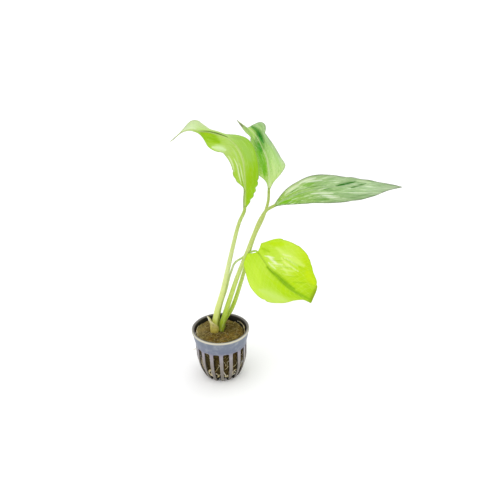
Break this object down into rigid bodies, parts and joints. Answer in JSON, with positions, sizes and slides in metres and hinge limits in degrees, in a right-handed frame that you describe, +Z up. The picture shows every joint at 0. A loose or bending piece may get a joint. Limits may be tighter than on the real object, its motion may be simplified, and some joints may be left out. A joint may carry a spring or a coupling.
{
  "type": "potted sword plant",
  "caption": "Young marble-leaf sword plant with long stalks and broad blades, rooted in a fibrous plug in a small slotted net pot.",
  "frame": {"origin": "middle of the net pot's base, on the surface that it stands on", "axes": "+Z up along the pot's axis; +X towards the tip of the long marbled leaf; the plant's front faces -Y"},
  "size_m": [0.1883, 0.0548, 0.2407],
  "materials": {
    "pot_plastic": "satin",
    "mineral_wool": "matte",
    "rootstock": "matte",
    "dry_sheath": "matte",
    "stalk": "satin",
    "leaf_lime": "satin",
    "leaf_folded": "satin",
    "leaf_marbled": "satin",
    "leaf_yellow_green": "gloss",
    "root": "matte"
  },
  "bodies": {
    "root": {"net_pot": "pot_plastic", "rockwool_plug": "mineral_wool", "rhizome": "rootstock", "old_stalk_stub": "dry_sheath", "leaf_stalk_left": "stalk", "leaf_stalk_back": "stalk", "leaf_stalk_right": "stalk", "leaf_stalk_low": "stalk", "leaf_blade_left": "leaf_lime", "leaf_blade_back": "leaf_folded", "leaf_blade_right": "leaf_marbled", "leaf_blade_low": "leaf_yellow_green", "root_1": "root", "root_2": "root", "root_3": "root", "root_4": "root", "root_5": "root", "root_6": "root", "root_7": "root", "root_8": "root"}
  },
  "joints": []
}
